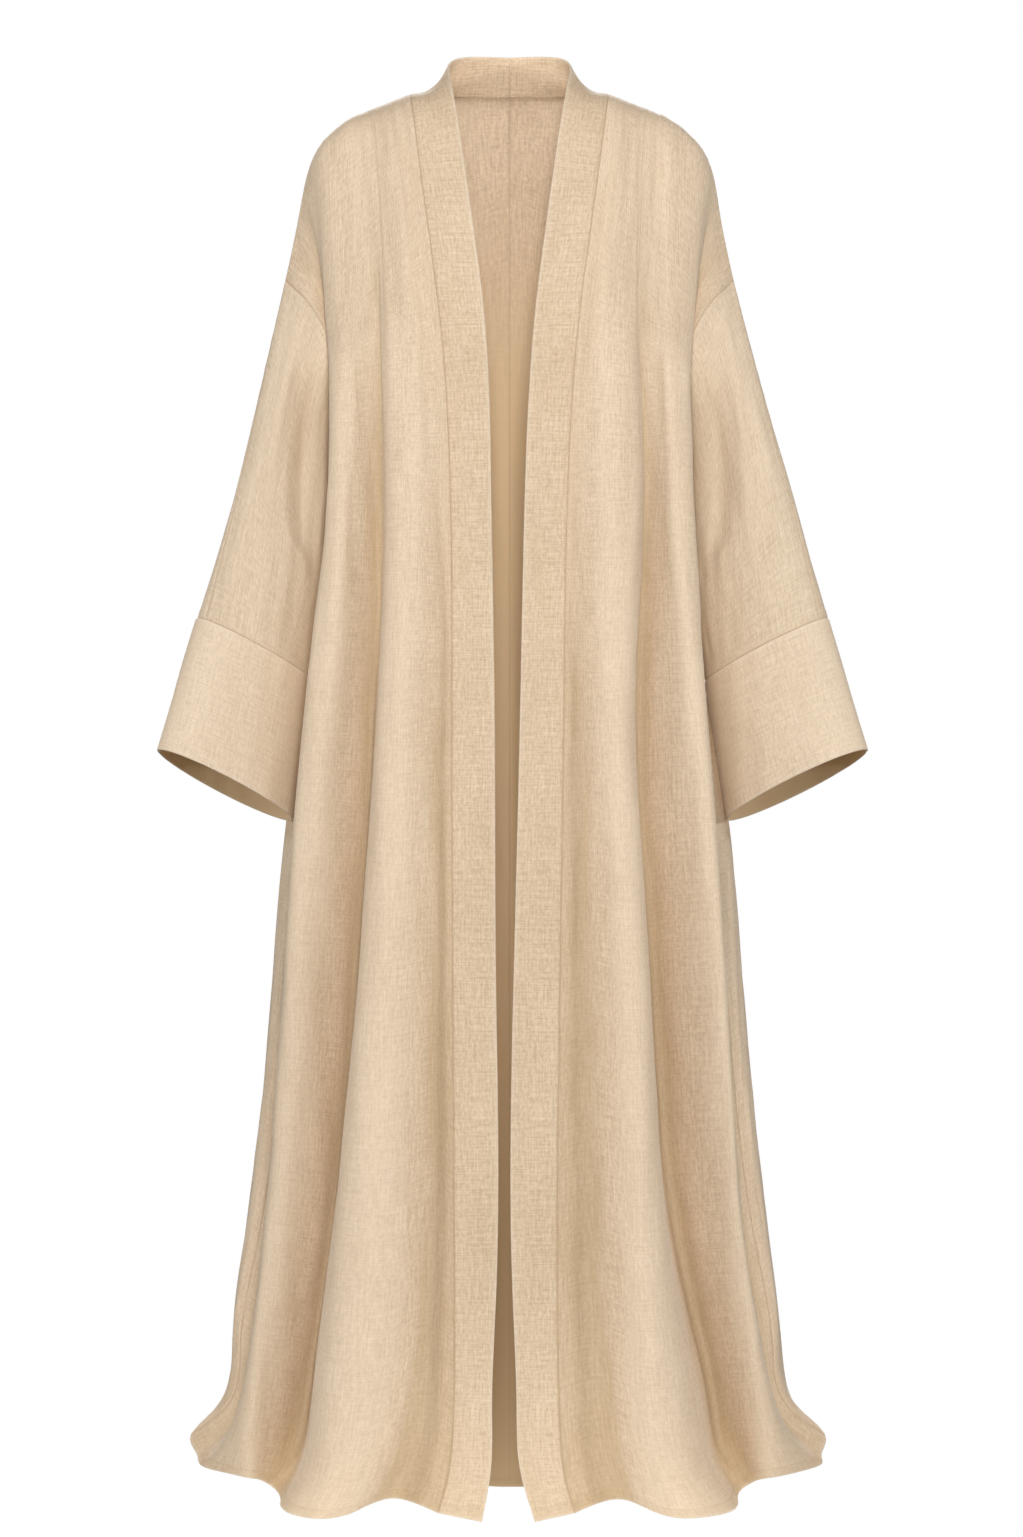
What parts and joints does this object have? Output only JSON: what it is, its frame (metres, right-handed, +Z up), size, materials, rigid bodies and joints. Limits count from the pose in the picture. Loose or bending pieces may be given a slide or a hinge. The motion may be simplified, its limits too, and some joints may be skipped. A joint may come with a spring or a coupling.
{
  "type": "open front abaya cloak",
  "caption": "Long open-front abaya cloak in natural linen, worn form with no wearer, with dropped shoulders, wide sleeves, deep cuffs and a plain band round the neck and fronts.",
  "frame": {"origin": "middle of the neck opening, level with the neck ends of the two shoulder seams, where the wearer's shoulders hold the cloak", "axes": "+X to the wearer's left, +Y to the wearer's back (the front faces -Y), +Z up along the cloak's length"},
  "size_m": [0.7084, 0.4082, 1.4543],
  "materials": {
    "linen": "natural beige linen, plain weave with fine slubs, matt",
    "linen_band": "the same linen doubled, for the front band and the cuffs, matt"
  },
  "bodies": {
    "root": {"front_right": "linen", "back_right": "linen", "band_right": "linen_band", "sleeve_front_right": "linen", "sleeve_back_right": "linen", "cuff_right": "linen_band", "front_left": "linen", "back_left": "linen", "band_left": "linen_band", "sleeve_front_left": "linen", "sleeve_back_left": "linen", "cuff_left": "linen_band"}
  },
  "joints": []
}
